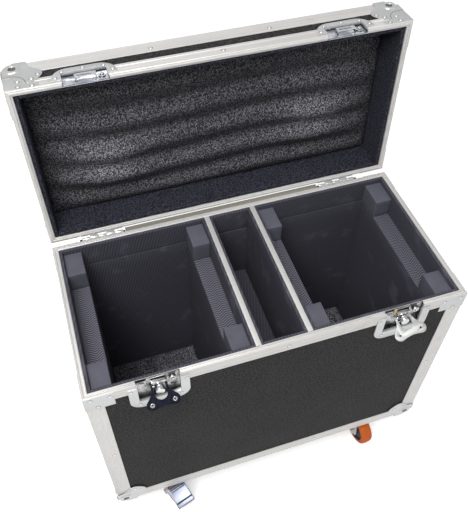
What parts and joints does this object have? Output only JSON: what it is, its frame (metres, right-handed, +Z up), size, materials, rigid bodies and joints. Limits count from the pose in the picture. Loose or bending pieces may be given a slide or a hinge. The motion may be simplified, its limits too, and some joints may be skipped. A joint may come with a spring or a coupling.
{
  "type": "flight case",
  "caption": "Wheeled flight case for stage lights, with aluminium edges, ball corners, butterfly latches, foam-lined bays and a hinged lid standing open.",
  "frame": {"origin": "centre of the case's extents with the lid open, on the floor under the wheels", "axes": "+X along the long side to the right, +Y from the latch side to the hinge side, +Z up"},
  "size_m": [0.7546, 0.52, 0.9778],
  "materials": {
    "laminate": "satin black laminate on plywood",
    "aluminium": "brushed extrusion, lightly scuffed",
    "zinc": "bright zinc plate",
    "dark_zinc": "dark smoked chrome",
    "lining": "textured foam sheet",
    "foam": "dense matt foam",
    "fuzzy": "open foam with a furry face",
    "tyre": "orange, with a dark core",
    "plywood": "bare plywood"
  },
  "bodies": {
    "case_body": {"back_panel": "laminate", "base_ball_corner_front_left": "zinc", "base_ball_corner_front_right": "zinc", "base_ball_corner_rear_left": "zinc", "base_ball_corner_rear_right": "zinc", "body_edge_frame": "aluminium", "body_rim": "aluminium", "divider_cap_left": "aluminium", "divider_cap_right": "aluminium", "divider_left": "lining", "divider_right": "lining", "floor_pad_left": "fuzzy", "floor_pad_right": "fuzzy", "floor_panel": "plywood", "foam_cradle_left_inner": "foam", "foam_cradle_left_outer": "foam", "foam_cradle_right_inner": "foam", "foam_cradle_right_outer": "foam", "front_panel": "laminate", "handle_dish_left": "zinc", "handle_dish_right": "zinc", "hinge_base_leaf_left": "zinc", "hinge_base_leaf_right": "zinc", "latch_dish_left": "zinc", "latch_dish_right": "zinc", "left_panel": "laminate", "middle_shelf": "lining", "right_panel": "laminate", "wall_lining": "lining"},
    "lid": {"hinge_lid_leaf_left": "zinc", "hinge_lid_leaf_right": "zinc", "keeper_dish_left": "zinc", "keeper_dish_right": "zinc", "lid_ball_corner_front_left": "zinc", "lid_ball_corner_front_right": "zinc", "lid_ball_corner_rear_left": "zinc", "lid_ball_corner_rear_right": "zinc", "lid_edge_frame": "aluminium", "lid_foam": "fuzzy", "lid_rim": "aluminium", "lid_top_panel": "laminate", "lid_walls": "laminate"},
    "latch_spindle_left": {"latch_spindle_left": "zinc"},
    "latch_key_left": {"latch_key_left": "dark_zinc"},
    "latch_hook_left": {"latch_hook_left": "zinc"},
    "handle_bail_left": {"handle_bail_left": "dark_zinc"},
    "latch_spindle_right": {"latch_spindle_right": "zinc"},
    "latch_key_right": {"latch_key_right": "zinc"},
    "latch_hook_right": {"latch_hook_right": "zinc"},
    "handle_bail_right": {"handle_bail_right": "dark_zinc"},
    "caster_fork_front_left": {"caster_fork_front_left": "zinc"},
    "caster_wheel_front_left": {"caster_wheel_front_left": "tyre"},
    "caster_fork_front_right": {"caster_fork_front_right": "zinc"},
    "caster_wheel_front_right": {"caster_wheel_front_right": "tyre"},
    "caster_fork_rear_left": {"caster_fork_rear_left": "zinc"},
    "caster_wheel_rear_left": {"caster_wheel_rear_left": "tyre"},
    "caster_fork_rear_right": {"caster_fork_rear_right": "zinc"},
    "caster_wheel_rear_right": {"caster_wheel_rear_right": "tyre"},
    "brake_pedal_front_left": {"brake_pedal_front_left": "zinc"},
    "brake_pedal_rear_left": {"brake_pedal_rear_left": "zinc"}
  },
  "joints": [
    {"name": "lid_hinge", "type": "hinge", "parent": "case_body", "child": "lid", "pos_m": [0, 0.1499, 0.6144], "axis": [1, 0, 0], "range_deg": [0, 93.3]},
    {"name": "latch_turn_left", "type": "hinge", "parent": "case_body", "child": "latch_spindle_left", "pos_m": [-0.242, -0.2093, 0.592], "axis": [0, -1, 0], "range_deg": [0, 180]},
    {"name": "latch_key_fold_left", "type": "hinge", "parent": "latch_spindle_left", "child": "latch_key_left", "pos_m": [-0.242, -0.2093, 0.592], "axis": [-0.9976, 0, -0.0698], "range_deg": [-22, 52]},
    {"name": "latch_hook_slide_left", "type": "slide", "parent": "case_body", "child": "latch_hook_left", "axis": [0, 0, 1], "range_m": [0, 0.02]},
    {"name": "latch_turn_right", "type": "hinge", "parent": "case_body", "child": "latch_spindle_right", "pos_m": [0.242, -0.2093, 0.592], "axis": [0, -1, 0], "range_deg": [0, 180]},
    {"name": "latch_key_fold_right", "type": "hinge", "parent": "latch_spindle_right", "child": "latch_key_right", "pos_m": [0.242, -0.2093, 0.592], "axis": [-0.9613, 0, -0.2756], "range_deg": [-64, 10]},
    {"name": "latch_hook_slide_right", "type": "slide", "parent": "case_body", "child": "latch_hook_right", "axis": [0, 0, 1], "range_m": [0, 0.02]},
    {"name": "caster_swivel_front_left", "type": "hinge", "parent": "case_body", "child": "caster_fork_front_left", "pos_m": [-0.255, -0.1595, 0.0956], "axis": [0, 0, 1], "continuous": true},
    {"name": "caster_roll_front_left", "type": "hinge", "parent": "caster_fork_front_left", "child": "caster_wheel_front_left", "pos_m": [-0.24535, -0.19105, 0.04], "axis": [0.9563, 0.2924, 0], "continuous": true},
    {"name": "brake_pedal_press_front_left", "type": "hinge", "parent": "caster_fork_front_left", "child": "brake_pedal_front_left", "pos_m": [-0.2474, -0.18436, 0.086], "axis": [0.9563, 0.2924, 0], "range_deg": [0, 8]},
    {"name": "caster_swivel_front_right", "type": "hinge", "parent": "case_body", "child": "caster_fork_front_right", "pos_m": [0.255, -0.1595, 0.0956], "axis": [0, 0, 1], "continuous": true},
    {"name": "caster_roll_front_right", "type": "hinge", "parent": "caster_fork_front_right", "child": "caster_wheel_front_right", "pos_m": [0.25845, -0.19232, 0.04], "axis": [0.9945, 0.1045, 0], "continuous": true},
    {"name": "caster_swivel_rear_left", "type": "hinge", "parent": "case_body", "child": "caster_fork_rear_left", "pos_m": [-0.255, 0.0905, 0.0956], "axis": [0, 0, 1], "continuous": true},
    {"name": "caster_roll_rear_left", "type": "hinge", "parent": "caster_fork_rear_left", "child": "caster_wheel_rear_left", "pos_m": [-0.24814, 0.05822, 0.04], "axis": [0.9781, 0.2079, 0], "continuous": true},
    {"name": "brake_pedal_press_rear_left", "type": "hinge", "parent": "caster_fork_rear_left", "child": "brake_pedal_rear_left", "pos_m": [-0.24959, 0.06507, 0.086], "axis": [0.9781, 0.2079, 0], "range_deg": [0, 8]},
    {"name": "caster_swivel_rear_right", "type": "hinge", "parent": "case_body", "child": "caster_fork_rear_right", "pos_m": [0.255, 0.0905, 0.0956], "axis": [0, 0, 1], "continuous": true},
    {"name": "caster_roll_rear_right", "type": "hinge", "parent": "caster_fork_rear_right", "child": "caster_wheel_rear_right", "pos_m": [0.25212, 0.05763, 0.04], "axis": [0.9962, -0.0872, 0], "continuous": true},
    {"name": "handle_swing_left", "type": "hinge", "parent": "case_body", "child": "handle_bail_left", "pos_m": [-0.3692, -0.0345, 0.429], "axis": [0, 1, 0], "range_deg": [0, 100]},
    {"name": "handle_swing_right", "type": "hinge", "parent": "case_body", "child": "handle_bail_right", "pos_m": [0.3692, -0.0345, 0.429], "axis": [0, -1, 0], "range_deg": [0, 100]}
  ],
  "couplings": [
    {"joint": "latch_turn_left", "follows": "latch_hook_slide_left", "rad_per_m": 157.08},
    {"joint": "latch_turn_right", "follows": "latch_hook_slide_right", "rad_per_m": 157.08}
  ]
}
